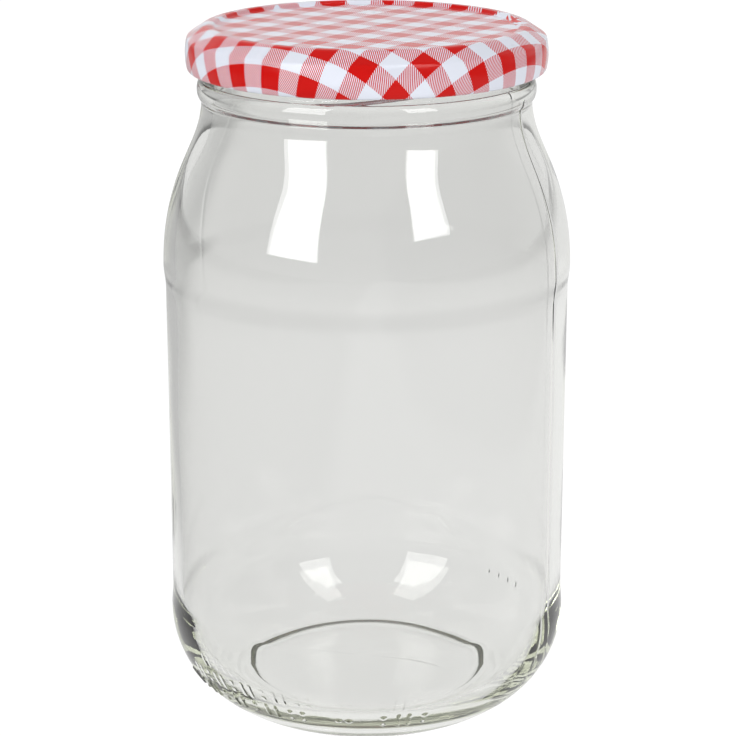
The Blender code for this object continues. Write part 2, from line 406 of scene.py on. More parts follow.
def shoulder_slopes(steps):
    """Slopes from upright of the shoulder, from the body up to the neck, and the length of each short run."""
    inset = BODY_RADIUS - NECK_RADIUS
    rise = NECK_HEIGHT - SHOULDER_HEIGHT
    steepest = 2.0 * math.atan(inset / rise)
    hollow_radius = rise / math.sin(steepest) - SHOULDER_ARC_RADIUS
    round_length = SHOULDER_ARC_RADIUS * steepest
    length = round_length + hollow_radius * steepest

    def slope(run):
        if run < round_length:
            return run / SHOULDER_ARC_RADIUS
        return (length - run) / hollow_radius

    slopes = []
    for step in range(steps):
        run = length * (step + 0.5) / steps
        ease = min(SHOULDER_EASE, run, length - run)
        near = [slope(run + ease * part / 4.0) for part in range(-4, 5)]
        slopes.append(sum(near) / len(near))
    return slopes, length / steps


def shoulder_line(depth, points):
    """The shoulder from the body up to the neck, at a depth in the glass, round below and hollow above."""
    slopes, run = shoulder_slopes(SHOULDER_FINE_STEPS * points)
    in_scale = (BODY_RADIUS - NECK_RADIUS) / (run * sum(math.sin(slope) for slope in slopes))
    up_scale = (NECK_HEIGHT - SHOULDER_HEIGHT) / (run * sum(math.cos(slope) for slope in slopes))
    radius, height = BODY_RADIUS, SHOULDER_HEIGHT
    line = [(radius - depth, height)]
    for number, slope in enumerate(slopes):
        radius -= in_scale * run * math.sin(slope)
        height += up_scale * run * math.cos(slope)
        if (number + 1) % SHOULDER_FINE_STEPS == 0:
            line.append((radius - depth * math.cos(slope), height - depth * math.sin(slope)))
    return line


def softened(points, passes):
    """The same outline with its corners rounded, its two ends kept."""
    for _ in range(passes):
        inner = []
        for before, point, after in zip(points, points[1:], points[2:]):
            middle = [point[axis] / 2.0 + (before[axis] + after[axis]) / 4.0 for axis in (0, 1)]
            inner.append(tuple(middle))
        points = [points[0]] + inner + [points[-1]]
    return points


def jar_inside():
    """The glass jar's inside, from the middle of its floor up to its mouth."""
    inner_radius = BODY_RADIUS - WALL
    corner = (inner_radius - FLOOR_CORNER_RADIUS, FLOOR_LOW_HEIGHT + FLOOR_CORNER_RISE)
    corner_arc = arc(corner, (FLOOR_CORNER_RADIUS, FLOOR_CORNER_RISE), -90.0 - FLOOR_TILT, 0.0, 18)
    floor_edge = corner_arc[0]
    outline = dome(floor_edge[0], floor_edge[1], FLOOR_TILT, 10)
    outline += corner_arc
    outline += straight(corner_arc[-1], (inner_radius, SHOULDER_HEIGHT), 22)
    outline += shoulder_line(WALL, 24)
    neck = outline[-1]
    outline += straight(neck, (neck[0], RIM_HEIGHT - RIM_ROUND_HEIGHT), 5)
    return outline


def jar_outside(mouth_radius):
    """The glass jar's rim and outside, from its mouth down to the middle of its underside."""
    rim_radius = (FINISH_RADIUS - mouth_radius) / 2.0
    rim_centre = (mouth_radius + rim_radius, RIM_HEIGHT - rim_radius)
    bead_size = (BEAD_RADIUS - NECK_RADIUS, BEAD_HALF_HEIGHT)
    bead_top = BEAD_HEIGHT + BEAD_HALF_HEIGHT
    heel_reach = HEEL_ARC_RADIUS - REST_RING_EDGE
    heel_angle = math.degrees(math.asin((HEEL_ARC_HEIGHT - REST_RING_EDGE) / heel_reach))
    edge_radius = HEEL_CENTRE[0] + heel_reach * math.cos(math.radians(heel_angle))
    inner_edge = edge_radius - REST_RING_WIDTH + REST_RING_EDGE
    outline = circle_arc(rim_centre, rim_radius, 180.0, 0.0, 10)
    outline += straight(outline[-1], (FINISH_RADIUS, bead_top), 26)
    bead = arc((NECK_RADIUS, BEAD_HEIGHT), bead_size, 90.0, -90.0, 18)
    neck = list(reversed(shoulder_line(0.0, 28)))
    outline += softened(without_repeats(bead + neck), BEAD_SOFTENING)
    band_bottom = (BODY_RADIUS, HIGH_STEP_HEIGHT + STEP_HALF_HEIGHT)
    label_top = (LABEL_RADIUS, HIGH_STEP_HEIGHT - STEP_HALF_HEIGHT)
    label_bottom = (LABEL_RADIUS, LOW_STEP_HEIGHT + STEP_HALF_HEIGHT)
    band_top = (LOW_BAND_RADIUS, LOW_STEP_HEIGHT - STEP_HALF_HEIGHT)
    outline += soft_step(band_bottom, label_top, 8)
    outline += straight(label_top, label_bottom, 22)
    outline += soft_step(label_bottom, band_top, 8)
    outline += circle_arc(HEEL_CENTRE, HEEL_ARC_RADIUS, 0.0, -heel_angle, 22)
    outline += circle_arc((edge_radius, REST_RING_EDGE), REST_RING_EDGE, -heel_angle, -90.0, 3)
    outline += circle_arc((inner_edge, REST_RING_EDGE), REST_RING_EDGE, -90.0, -150.0, 4)
    outline += reversed(dome(HOLLOW_EDGE_RADIUS, HOLLOW_EDGE_HEIGHT, HOLLOW_TILT, 9))
    return outline


# Pieces

def mark_relief(kind, across, along):
    """Height share of a raised mark, at metres across and along the heel from the mark's middle."""
    half_length, half_width = MARK_SHAPES[kind]
    beyond = abs(along) - half_length
    if kind != "dots":
        beyond = max(beyond, 0.0)
    away = math.hypot(across, beyond) - half_width
    return max(0.0, min(1.0, 0.5 - away / MARK_SOFT_EDGE))


def heel_relief(angle, place):
    """Height share of the heel's marks at a point on the outside of the glass."""
    radius = radius_of(place)
    if place.z >= HEEL_ARC_HEIGHT or radius <= HEEL_CENTRE[0]:
        return 0.0
    fall = math.atan2(HEEL_CENTRE[1] - place.z, radius - HEEL_CENTRE[0])
    relief = 0.0
    for mark_angle, mark_fall, kind in MARK_PLACES:
        across = math.radians(turned_from(angle, mark_angle)) * radius
        along = (fall - math.radians(mark_fall)) * HEEL_ARC_RADIUS
        relief = max(relief, mark_relief(kind, across, along))
    return relief


def seam_relief(angle, height):
    """Height share of the two mould seams at a place on the outside of the glass."""
    off_seam = abs(turned_from(angle, SEAM_ANGLE))
    on_seam = min(off_seam, 180.0 - off_seam) < SEAM_STRIP / 4.0
    if not (on_seam and SEAM_LOW_END < height < BEAD_HEIGHT):
        return 0.0
    fade = min(1.0, max(SEAM_LOW_SHARE, (height - SEAM_FADE_HEIGHT) / SEAM_FADE))
    return fade if off_seam < 90.0 else fade * FAR_SEAM_SHARE


def thread_relief(angle, height):
    """Height share of the nearest thread ridge at a place on the mouth: half round, thinner at both ends."""
    relief = 0.0
    for number in range(THREAD_COUNT):
        past = (angle - THREAD_FIRST_ANGLE - number * 360.0 / THREAD_COUNT) % 360.0
        if past > THREAD_SWEEP:
            continue
        ridge_height = THREAD_LOW_HEIGHT + THREAD_CLIMB * past / THREAD_SWEEP
        end = min(1.0, min(past, THREAD_SWEEP - past) / THREAD_TAPER)
        half_width = THREAD_HALF_WIDTH * (THREAD_END_WIDTH + (1.0 - THREAD_END_WIDTH) * math.sqrt(end))
        away = abs(height - ridge_height) / half_width
        if away < 1.0:
            relief = max(relief, math.sqrt(1.0 - away * away) * half_width / THREAD_HALF_WIDTH)
    return relief


def turn_piece(piece, degrees):
    """Turns a piece's mesh round the jar's axis, to the right as seen from the front."""
    edit(piece)
    bpy.ops.mesh.select_all(action="SELECT")
    bpy.ops.transform.rotate(value=math.radians(-degrees), orient_axis="Z", center_override=AXIS)
    done()


def near_mark(angle, fall):
    """Whether a place on the heel lies in the finer mesh round any mark, in degrees round and down."""
    for mark_angle, mark_fall, kind in MARK_PLACES:
        patch = TICK_PATCH if kind == "tick" else MARK_PATCH
        if abs(turned_from(angle, mark_angle)) < patch[0] and abs(fall - mark_fall) < patch[1]:
            return True
    return False


def subdivide_heel(jar):
    """Makes the mesh finer where the heel marks stand."""
    start_choice(jar, "FACE")
    for face in jar.data.polygons:
        out = radius_of(face.center) - HEEL_CENTRE[0]
        down = HEEL_CENTRE[1] - face.center.z
        on_arc = abs(math.hypot(out, down) - HEEL_ARC_RADIUS) < HEEL_TOLERANCE
        fall = math.degrees(math.atan2(down, out))
        face.select = on_arc and near_mark(azimuth(face.center), fall)
    edit(jar)
    bpy.ops.mesh.subdivide(number_cuts=3, smoothness=1.0)
    done()


def make_jar():
    """The glass jar: turned, its threads, seams and heel marks raised from the glass, its inside wavy."""
    inside = without_repeats(jar_inside())
    outside = without_repeats(jar_outside(inside[-1][0]))
    outline = without_repeats(inside + outside)
    jar = draw_outline("jar_glass", outline)
    half_turn = 180.0 - SEAM_STRIP
    spin_outline([(JAR_STEPS, half_turn), (2, SEAM_STRIP), (JAR_STEPS, half_turn), (2, SEAM_STRIP)])
    turn_piece(jar, SEAM_ANGLE - SEAM_STRIP / 2.0 - 90.0)
    subdivide_heel(jar)
    numbers = outline_numbers(jar, outline)
    groups = {"inner": {}, "floor": {}, "threads": {}, "seams": {}, "marks": {}}
    for vertex in jar.data.vertices:
        place = vertex.co
        angle = azimuth(place)
        if numbers[vertex.index] < len(inside):
            reliefs = {
                "inner": min(1.0, (RIM_HEIGHT - place.z) / SLOW_WAVE_FADE),
                "floor": min(1.0, 1.5 - 1.5 * place.z / QUICK_WAVE_TOP),
            }
        else:
            reliefs = {
                "threads": thread_relief(angle, place.z),
                "seams": seam_relief(angle, place.z),
                "marks": heel_relief(angle, place),
            }
        for name, relief in reliefs.items():
            if relief > 0.0:
                groups[name][vertex.index] = relief
    for name, weights in groups.items():
        weigh(jar, name, weights)
    press(jar, "inner", SLOW_WAVE, cloud("slow_wave", SLOW_WAVE_SIZE), 0.5)
    press(jar, "floor", QUICK_WAVE, cloud("quick_wave", QUICK_WAVE_SIZE), 0.5)
    press(jar, "threads", THREAD_HALF_WIDTH)
    press(jar, "seams", SEAM_HEIGHT)
    press(jar, "marks", MARK_HEIGHT)
    smooth(jar)
    return jar


def lid_bends():
    """Centres of the lid's crest, corner, skirt and curl arcs, each one tangent to the next."""
    sweep = math.radians(SKIRT_HALF_SWEEP)
    fall = math.radians(FALL_ANGLE)
    skirt = (SKIRT_RADIUS - SKIRT_BEND, SKIRT_HEIGHT)
    to_corner = SKIRT_BEND - CORNER_BEND
    to_curl = SKIRT_BEND - CURL_SIZE
    corner = (skirt[0] + to_corner * math.cos(sweep), skirt[1] + to_corner * math.sin(sweep))
    curl = (skirt[0] + to_curl * math.cos(sweep), skirt[1] - to_curl * math.sin(sweep))
    crest_height = LID_TOP - CREST_BEND
    fall_height = crest_height + CREST_BEND * math.cos(fall) - corner[1] - CORNER_BEND * math.cos(fall)
    crest_radius = corner[0] + (CORNER_BEND - CREST_BEND) * math.sin(fall) - fall_height / math.tan(fall)
    return (crest_radius, crest_height), corner, skirt, curl


def lid_outline():
    """The lid's outer face from the panel's middle to the curl's end, and each point's radius when flat."""
    panel_height = LID_TOP - PANEL_SINK
    tilt = 2.0 * math.atan(PANEL_SINK / (CREST_RADIUS - PANEL_RADIUS))
    bend = (CREST_RADIUS - PANEL_RADIUS) / (2.0 * math.sin(tilt))
    slope = math.degrees(tilt)
    crest, corner, skirt, curl = lid_bends()
    fall_top = circle_arc(crest, CREST_BEND, 90.0, 90.0 - FALL_ANGLE, 8)
    fall_bottom = circle_arc(corner, CORNER_BEND, 90.0 - FALL_ANGLE, SKIRT_HALF_SWEEP, 9)
    parts = [
        (straight((0.0, panel_height), (PANEL_RADIUS, panel_height), 8), PANEL_STRETCH),
        (circle_arc((PANEL_RADIUS, panel_height + bend), bend, -90.0, -90.0 + slope, 5), WALL_STRETCH),
        (circle_arc((CREST_RADIUS, LID_TOP - bend), bend, 90.0 + slope, 90.0, 5), WALL_STRETCH),
        (fall_top, SKIRT_STRETCH),
        (straight(fall_top[-1], fall_bottom[0], 5), SKIRT_STRETCH),
        (fall_bottom, SKIRT_STRETCH),
        (circle_arc(skirt, SKIRT_BEND, SKIRT_HALF_SWEEP, -SKIRT_HALF_SWEEP, 10), SKIRT_STRETCH),
        (circle_arc(curl, CURL_SIZE, -SKIRT_HALF_SWEEP, CURL_END_ANGLE, 14), SKIRT_STRETCH),
    ]
    outline = [parts[0][0][0]]
    flat = [0.0]
    for points, stretch in parts:
        for point in points:
            step = math.dist(point, outline[-1])
            if step > SAME_POINT:
                outline.append(point)
                flat.append(flat[-1] + step * stretch)
    return outline, flat


def make_lid():
    """The lid: one drawn sheet, its curl pressed in at the lugs, its print laid on as a flat sheet's map."""
    outline, flat = lid_outline()
    lid = draw_outline("gingham_lid", outline)
    spin_outline([(288, 360.0)])
    numbers = outline_numbers(lid, outline)
    print_map = lid.data.uv_layers.new(name="print_sheet")
    for loop in lid.data.loops:
        place = lid.data.vertices[loop.vertex_index].co
        radius = radius_of(place)
        flat_radius = flat[numbers[loop.vertex_index]]
        reach = flat_radius / radius if radius > 0.01 * MM else 0.0
        across = place.x * reach - CHECK_ORIGIN[0]
        up = place.y * reach - CHECK_ORIGIN[1]
        print_map.data[loop.index].uv = (0.5 + across / PRINT_SHEET, 0.5 + up / PRINT_SHEET)
    start_choice(lid, "VERT")
    curl = lid_bends()[3]
    for vertex in lid.data.vertices:
        past = (azimuth(vertex.co) - LUG_FIRST_ANGLE + LUG_HALF_SWEEP) % (360.0 / LUG_COUNT)
        in_curl = radius_of(vertex.co) < curl[0] and vertex.co.z < curl[1] + 1.5 * CURL_SIZE
        vertex.select = in_curl and past < 2.0 * LUG_HALF_SWEEP
    edit(lid)
    inward = 1.0 - LUG_REACH / curl[0]
    bpy.ops.transform.resize(value=(inward, inward, 1.0), center_override=AXIS)
    done()
    bpy.ops.object.modifier_add(type="SOLIDIFY")
    wall = lid.modifiers[-1]
    wall.thickness = SHEET
    wall.offset = -1.0
    wall.material_offset = 1
    wall.material_offset_rim = 1
    bpy.ops.object.modifier_apply(modifier=wall.name)
    smooth(lid)
    return lid


def make_sealing_ring():
    """The lining ring: flat under the lid's crest, falling with the lid, its edges soft."""
    low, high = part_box("sealing_ring")
    crest = lid_bends()[0]
    edge = RING_EDGE
    bottom = low[2]
    inner = RING_INNER_RADIUS
    outer = high[0]
    top_arc = circle_arc(crest, high[2] - crest[1], 90.0, 90.0 - FALL_ANGLE, 5)
    fall_start = top_arc[-1]
    outer_height = fall_start[1] - (outer - fall_start[0]) * math.tan(math.radians(FALL_ANGLE))
    outline = circle_arc((inner + edge, bottom + edge), edge, -90.0, -180.0, 4)
    outline += [(inner, high[2] - edge), (inner + 0.4 * edge, high[2])]
    outline += top_arc
    outline += [(outer - 0.3 * edge, outer_height + 0.1 * edge), (outer, outer_height - 0.4 * edge)]
    outline += circle_arc((outer - edge, bottom + edge), edge, 0.0, -90.0, 4)
    outline = without_repeats(outline)
    outline.append(outline[0])
    ring = draw_outline("lining_ring", outline)
    spin_outline([(160, 360.0)])
    smooth(ring)
    return ring


# Materials

def node(tree, kind, place, **values):
    """A node at a place, with its settings."""
    made = tree.nodes.new(kind)
    made.location = place
    for name, value in values.items():
        setattr(made, name, value)
    return made


def math_node(tree, place, operation, first, second=None, third=None, clamp=False):
    """A Math node fed by sockets or plain numbers."""
    made = node(tree, "ShaderNodeMath", place, operation=operation, use_clamp=clamp)
    for number, value in enumerate((first, second, third)):
        if value is None:
            continue
        if isinstance(value, (int, float)):
            made.inputs[number].default_value = value
        else:
            tree.links.new(value, made.inputs[number])
    return made.outputs[0]


def eased(tree, place, value, low, high, at_low, at_high):
    """A value eased from one level to another between two places."""
    made = node(tree, "ShaderNodeMapRange", place, interpolation_type="SMOOTHSTEP")
    made.inputs["From Min"].default_value = low
    made.inputs["From Max"].default_value = high
    made.inputs["To Min"].default_value = at_low
    made.inputs["To Max"].default_value = at_high
    tree.links.new(value, made.inputs["Value"])
    return made.outputs["Result"]


def new_group(name, inputs, outputs):
    """A shader node group with named sockets: inputs (name, kind, start value), outputs (name, kind)."""
    group = bpy.data.node_groups.new(name, "ShaderNodeTree")
    for label, kind, value in inputs:
        socket = group.interface.new_socket(name=label, in_out="INPUT", socket_type=kind)
        if value is not None:
            socket.default_value = value
    for label, kind in outputs:
        group.interface.new_socket(name=label, in_out="OUTPUT", socket_type=kind)
    start = node(group, "NodeGroupInput", (-1000, 0))
    end = node(group, "NodeGroupOutput", (600, 0))
    return group, start, end


def new_material(name):
    """A node material, its tree and its Principled shader."""
    material = bpy.data.materials.new(name)
    material.use_nodes = True
    tree = material.node_tree
    shader = tree.nodes["Principled BSDF"]
    return material, tree, shader


def use_group(tree, group, place, **values):
    """A group placed in a material, with its inputs set to plain values or fed by sockets."""
    made = node(tree, "ShaderNodeGroup", place, node_tree=group)
    for label, value in values.items():
        socket = made.inputs[label.replace("_", " ")]
        if isinstance(value, bpy.types.NodeSocket):
            tree.links.new(value, socket)
        else:
            socket.default_value = value
    return made


def colours(sockets):
    """The colour sockets among a node's sockets."""
    return [socket for socket in sockets if socket.type == "RGBA"]


def add_tint(tree, shader, share, first, second):
    """Gives a shader a base colour between two, by a mask."""
    tint = node(tree, "ShaderNodeMix", (-400, 300), data_type="RGBA")
    colours(tint.inputs)[0].default_value = first
    colours(tint.inputs)[1].default_value = second
    tree.links.new(share, tint.inputs[0])
    tree.links.new(colours(tint.outputs)[0], shader.inputs["Base Color"])


def add_bump(tree, shader, height, strength, distance):
    """Gives a shader's surface the relief of a height."""
    bump = node(tree, "ShaderNodeBump", (-400, -300))
    bump.inputs["Strength"].default_value = strength
    bump.inputs["Distance"].default_value = distance
    tree.links.new(height, bump.inputs["Height"])
    tree.links.new(bump.outputs["Normal"], shader.inputs["Normal"])


def add_roughness(tree, shader, mask, rise, base):
    """Gives a shader a roughness that rises from its base by a mask; the base is a number or a socket."""
    rough = math_node(tree, (-400, 0), "MULTIPLY_ADD", mask, rise, base)
    tree.links.new(rough, shader.inputs["Roughness"])


def add_effects(tree, effects, wave_scales, mark_scales, stretch=None):
    """Waves at scales (slow, fine, share of the fine ones) and marks at (smudge, scuff), in a material."""
    ripple, handling = effects
    place = node(tree, "ShaderNodeTexCoord", (-1400, -300)).outputs["Object"]
    wave_place = place
    if stretch:
        drawn = node(tree, "ShaderNodeMapping", (-1200, -300))
        drawn.inputs["Scale"].default_value = stretch
        tree.links.new(place, drawn.inputs["Vector"])
        wave_place = drawn.outputs["Vector"]
    slow, fine, share = wave_scales
    smudge, scuff = mark_scales
    waves = use_group(tree, ripple, (-900, -300), Vector=wave_place, Slow_Scale=slow, Fine_Scale=fine,
                      Fine_Share=share)
    marks = use_group(tree, handling, (-900, 0), Vector=place, Smudge_Scale=smudge, Scuff_Scale=scuff)
    return waves.outputs["Height"], marks.outputs["Smudge"], marks.outputs["Scuff"]


def ripple_group():
    """Slow and fine waves of a surface that was hot or wet when it set."""
    group, start, end = new_group(
        "surface_ripple",
        [("Vector", "NodeSocketVector", None), ("Slow Scale", "NodeSocketFloat", 30.0),
         ("Fine Scale", "NodeSocketFloat", 400.0), ("Fine Share", "NodeSocketFloat", 0.1)],
        [("Height", "NodeSocketFloat")],
    )
    slow = node(group, "ShaderNodeTexNoise", (-600, 200))
    fine = node(group, "ShaderNodeTexNoise", (-600, -200))
    slow.inputs["Detail"].default_value = 1.0
    fine.inputs["Detail"].default_value = 2.0
    for texture, scale in ((slow, "Slow Scale"), (fine, "Fine Scale")):
        group.links.new(start.outputs["Vector"], texture.inputs["Vector"])
        group.links.new(start.outputs[scale], texture.inputs["Scale"])
    fine_part = math_node(group, (-200, -100), "MULTIPLY", fine.outputs["Fac"], start.outputs["Fine Share"])
    height = math_node(group, (100, 0), "ADD", slow.outputs["Fac"], fine_part)
    group.links.new(height, end.inputs["Height"])
    return group


def handling_group():
    """Faint marks of handling: soft smudges, and sparse fine scuffs that run in all directions."""
    group, start, end = new_group(
        "handling_marks",
        [("Vector", "NodeSocketVector", None), ("Smudge Scale", "NodeSocketFloat", 40.0),
         ("Scuff Scale", "NodeSocketFloat", 300.0)],
        [("Smudge", "NodeSocketFloat"), ("Scuff", "NodeSocketFloat")],
    )
    smudge = node(group, "ShaderNodeTexNoise", (-600, 200))
    smudge.inputs["Detail"].default_value = 4.0
    group.links.new(start.outputs["Vector"], smudge.inputs["Vector"])
    group.links.new(start.outputs["Smudge Scale"], smudge.inputs["Scale"])
    smudge_range = node(group, "ShaderNodeMapRange", (-300, 200), interpolation_type="SMOOTHSTEP")
    smudge_range.inputs["From Min"].default_value = 0.5
    smudge_range.inputs["From Max"].default_value = 0.75
    group.links.new(smudge.outputs["Fac"], smudge_range.inputs["Value"])
    bend = node(group, "ShaderNodeTexNoise", (-900, -200))
    bend.inputs["Scale"].default_value = 60.0
    group.links.new(start.outputs["Vector"], bend.inputs["Vector"])
    shift = node(group, "ShaderNodeVectorMath", (-750, -350), operation="MULTIPLY_ADD")
    shift.inputs[1].default_value = (0.02, 0.02, 0.02)
    group.links.new(bend.outputs["Color"], shift.inputs[0])
    group.links.new(start.outputs["Vector"], shift.inputs[2])
    crack = node(group, "ShaderNodeTexVoronoi", (-600, -200), feature="DISTANCE_TO_EDGE")
    group.links.new(shift.outputs[0], crack.inputs["Vector"])
    group.links.new(start.outputs["Scuff Scale"], crack.inputs["Scale"])
    line = node(group, "ShaderNodeMapRange", (-300, -200))
    line.inputs["From Min"].default_value = 0.02
    line.inputs["From Max"].default_value = 0.0
    group.links.new(crack.outputs["Distance"], line.inputs["Value"])
    sparse = math_node(group, (0, -200), "MULTIPLY", line.outputs["Result"], smudge_range.outputs["Result"])
    group.links.new(smudge_range.outputs["Result"], end.inputs["Smudge"])
    group.links.new(sparse, end.inputs["Scuff"])
    return group


def gingham_group():
    """A gingham check as it is printed: solid red where both stripes cross, fine red lines where one runs."""
    group, start, end = new_group(
        "gingham_check",
        [("Vector", "NodeSocketVector", None), ("Lines", "NodeSocketFloat", HATCH_LINES),
         ("Ink", "NodeSocketColor", PRINT_RED), ("Paper", "NodeSocketColor", PRINT_WHITE)],
        [("Color", "NodeSocketColor"), ("Cover", "NodeSocketFloat")],
    )
    split = node(group, "ShaderNodeSeparateXYZ", (-800, 0))
    group.links.new(start.outputs["Vector"], split.inputs[0])
    stripes = []
    for number, place in ((0, 200), (1, -50)):
        fold = math_node(group, (-600, place), "PINGPONG", split.outputs[number], 0.5)
        edge = node(group, "ShaderNodeMapRange", (-400, place), interpolation_type="SMOOTHSTEP")
        edge.inputs["From Min"].default_value = 0.256
        edge.inputs["From Max"].default_value = 0.244
        group.links.new(fold, edge.inputs["Value"])
        stripes.append(edge.outputs["Result"])
    both = math_node(group, (-150, 150), "MULTIPLY", stripes[0], stripes[1])
    either = math_node(group, (-150, 0), "ADD", stripes[0], stripes[1])
    single = math_node(group, (0, -50), "MULTIPLY_ADD", both, -2.0, either, clamp=True)
    diagonal = math_node(group, (-600, -300), "ADD", split.outputs[0], split.outputs[1])
    lines = math_node(group, (-450, -300), "MULTIPLY", diagonal, start.outputs["Lines"])
    fold = math_node(group, (-300, -300), "PINGPONG", lines, 0.5)
    hatch = node(group, "ShaderNodeMapRange", (-150, -300), interpolation_type="SMOOTHSTEP")
    hatch.inputs["From Min"].default_value = 0.34
    hatch.inputs["From Max"].default_value = 0.20
    group.links.new(fold, hatch.inputs["Value"])
    cover = math_node(group, (200, 50), "MULTIPLY_ADD", single, hatch.outputs["Result"], both, clamp=True)
    mix = node(group, "ShaderNodeMix", (400, 100), data_type="RGBA")
    group.links.new(cover, mix.inputs["Factor"])
    group.links.new(start.outputs["Paper"], colours(mix.inputs)[0])
    group.links.new(start.outputs["Ink"], colours(mix.inputs)[1])
    group.links.new(colours(mix.outputs)[0], end.inputs["Color"])
    group.links.new(cover, end.inputs["Cover"])
    return group


def glass_material(effects):
    """Clear soda glass: clean and fire-polished, with slow waves, and a way through for the lamps' light."""
    material, tree, shader = new_material("clear_glass")
    height, smudge, _ = add_effects(tree, effects, (45.0, 320.0, 0.02), (25.0, 120.0), (1.0, 1.0, 0.45))
    add_tint(tree, shader, height, (0.922, 0.922, 0.918, 1.0), (0.910, 0.911, 0.906, 1.0))
    add_roughness(tree, shader, smudge, 0.02, 0.0)
    add_bump(tree, shader, height, 0.25, 0.3 * MM)
    shader.inputs["Metallic"].default_value = 0.0
    shader.inputs["Transmission Weight"].default_value = 1.0
    shader.inputs["IOR"].default_value = GLASS_IOR
    depth = node(tree, "ShaderNodeVolumeAbsorption", (300, -200))
    depth.inputs["Color"].default_value = GLASS_DEPTH_COLOUR
    depth.inputs["Density"].default_value = GLASS_DENSITY
    tree.links.new(depth.outputs[0], tree.nodes["Material Output"].inputs["Volume"])
    lamps = node(tree, "ShaderNodeLightPath", (0, 400))
    clear = node(tree, "ShaderNodeBsdfTransparent", (0, -200))
    clear.inputs["Color"].default_value = (0.86, 0.87, 0.865, 1.0)
    choose = node(tree, "ShaderNodeMixShader", (300, 100))
    tree.links.new(lamps.outputs["Is Shadow Ray"], choose.inputs[0])
    tree.links.new(shader.outputs["BSDF"], choose.inputs[1])
    tree.links.new(clear.outputs["BSDF"], choose.inputs[2])
    tree.links.new(choose.outputs[0], tree.nodes["Material Output"].inputs["Surface"])
    return material


def print_material(gingham, effects):
    """Varnished print on white enamelled tinplate."""
    material, tree, shader = new_material("gingham_print")
    sheet = node(tree, "ShaderNodeUVMap", (-1600, 200), uv_map="print_sheet")
    middle = node(tree, "ShaderNodeMapping", (-1400, 200))
    middle.inputs["Location"].default_value = (-0.5, -0.5, 0.0)
    turn = node(tree, "ShaderNodeMapping", (-1200, 200))
    repeats = PRINT_SHEET / CHECK_PERIOD
    turn.inputs["Scale"].default_value = (repeats, repeats, 1.0)
    turn.inputs["Rotation"].default_value = (0.0, 0.0, -math.radians(CHECK_ANGLE))
    tree.links.new(sheet.outputs["UV"], middle.inputs["Vector"])
    tree.links.new(middle.outputs[0], turn.inputs["Vector"])
    check = use_group(tree, gingham, (-900, 200), Vector=turn.outputs[0])
    tree.links.new(check.outputs["Color"], shader.inputs["Base Color"])
    height, smudge, scuff = add_effects(tree, effects, (90.0, 900.0, 0.25), (60.0, 250.0))
    worn = math_node(tree, (-550, 0), "MULTIPLY_ADD", smudge, 0.08, 0.26)
    add_roughness(tree, shader, check.outputs["Cover"], -0.04, worn)
    add_bump(tree, shader, height, 0.12, 0.08 * MM)
    coat = math_node(tree, (-350, 100), "MULTIPLY_ADD", scuff, -0.2, 0.45, clamp=True)
    tree.links.new(coat, shader.inputs["Coat Weight"])
    shader.inputs["Coat Roughness"].default_value = 0.06
    shader.inputs["Coat IOR"].default_value = 1.33
    shader.inputs["Specular IOR Level"].default_value = 0.1
    return material


def lacquer_material(effects):
    """Pale lacquer on the lid's inner face and its cut edge."""
    material, tree, shader = new_material("inner_lacquer")
    height, smudge, _ = add_effects(tree, effects, (120.0, 1200.0, 0.3), (50.0, 220.0))
    add_tint(tree, shader, smudge, (0.74, 0.73, 0.70, 1.0), (0.66, 0.64, 0.60, 1.0))
    add_roughness(tree, shader, smudge, 0.1, 0.3)
    add_bump(tree, shader, height, 0.15, 0.08 * MM)
    return material


def compound_material(effects):
    """Soft sealing compound, flowed in and cured."""
    material, tree, shader = new_material("sealing_compound")
    height, smudge, _ = add_effects(tree, effects, (200.0, 2200.0, 0.4), (90.0, 400.0))
    add_tint(tree, shader, height, (0.72, 0.68, 0.63, 1.0), (0.62, 0.58, 0.53, 1.0))
    add_roughness(tree, shader, smudge, 0.12, 0.5)
    add_bump(tree, shader, height, 0.3, 0.1 * MM)
    return material


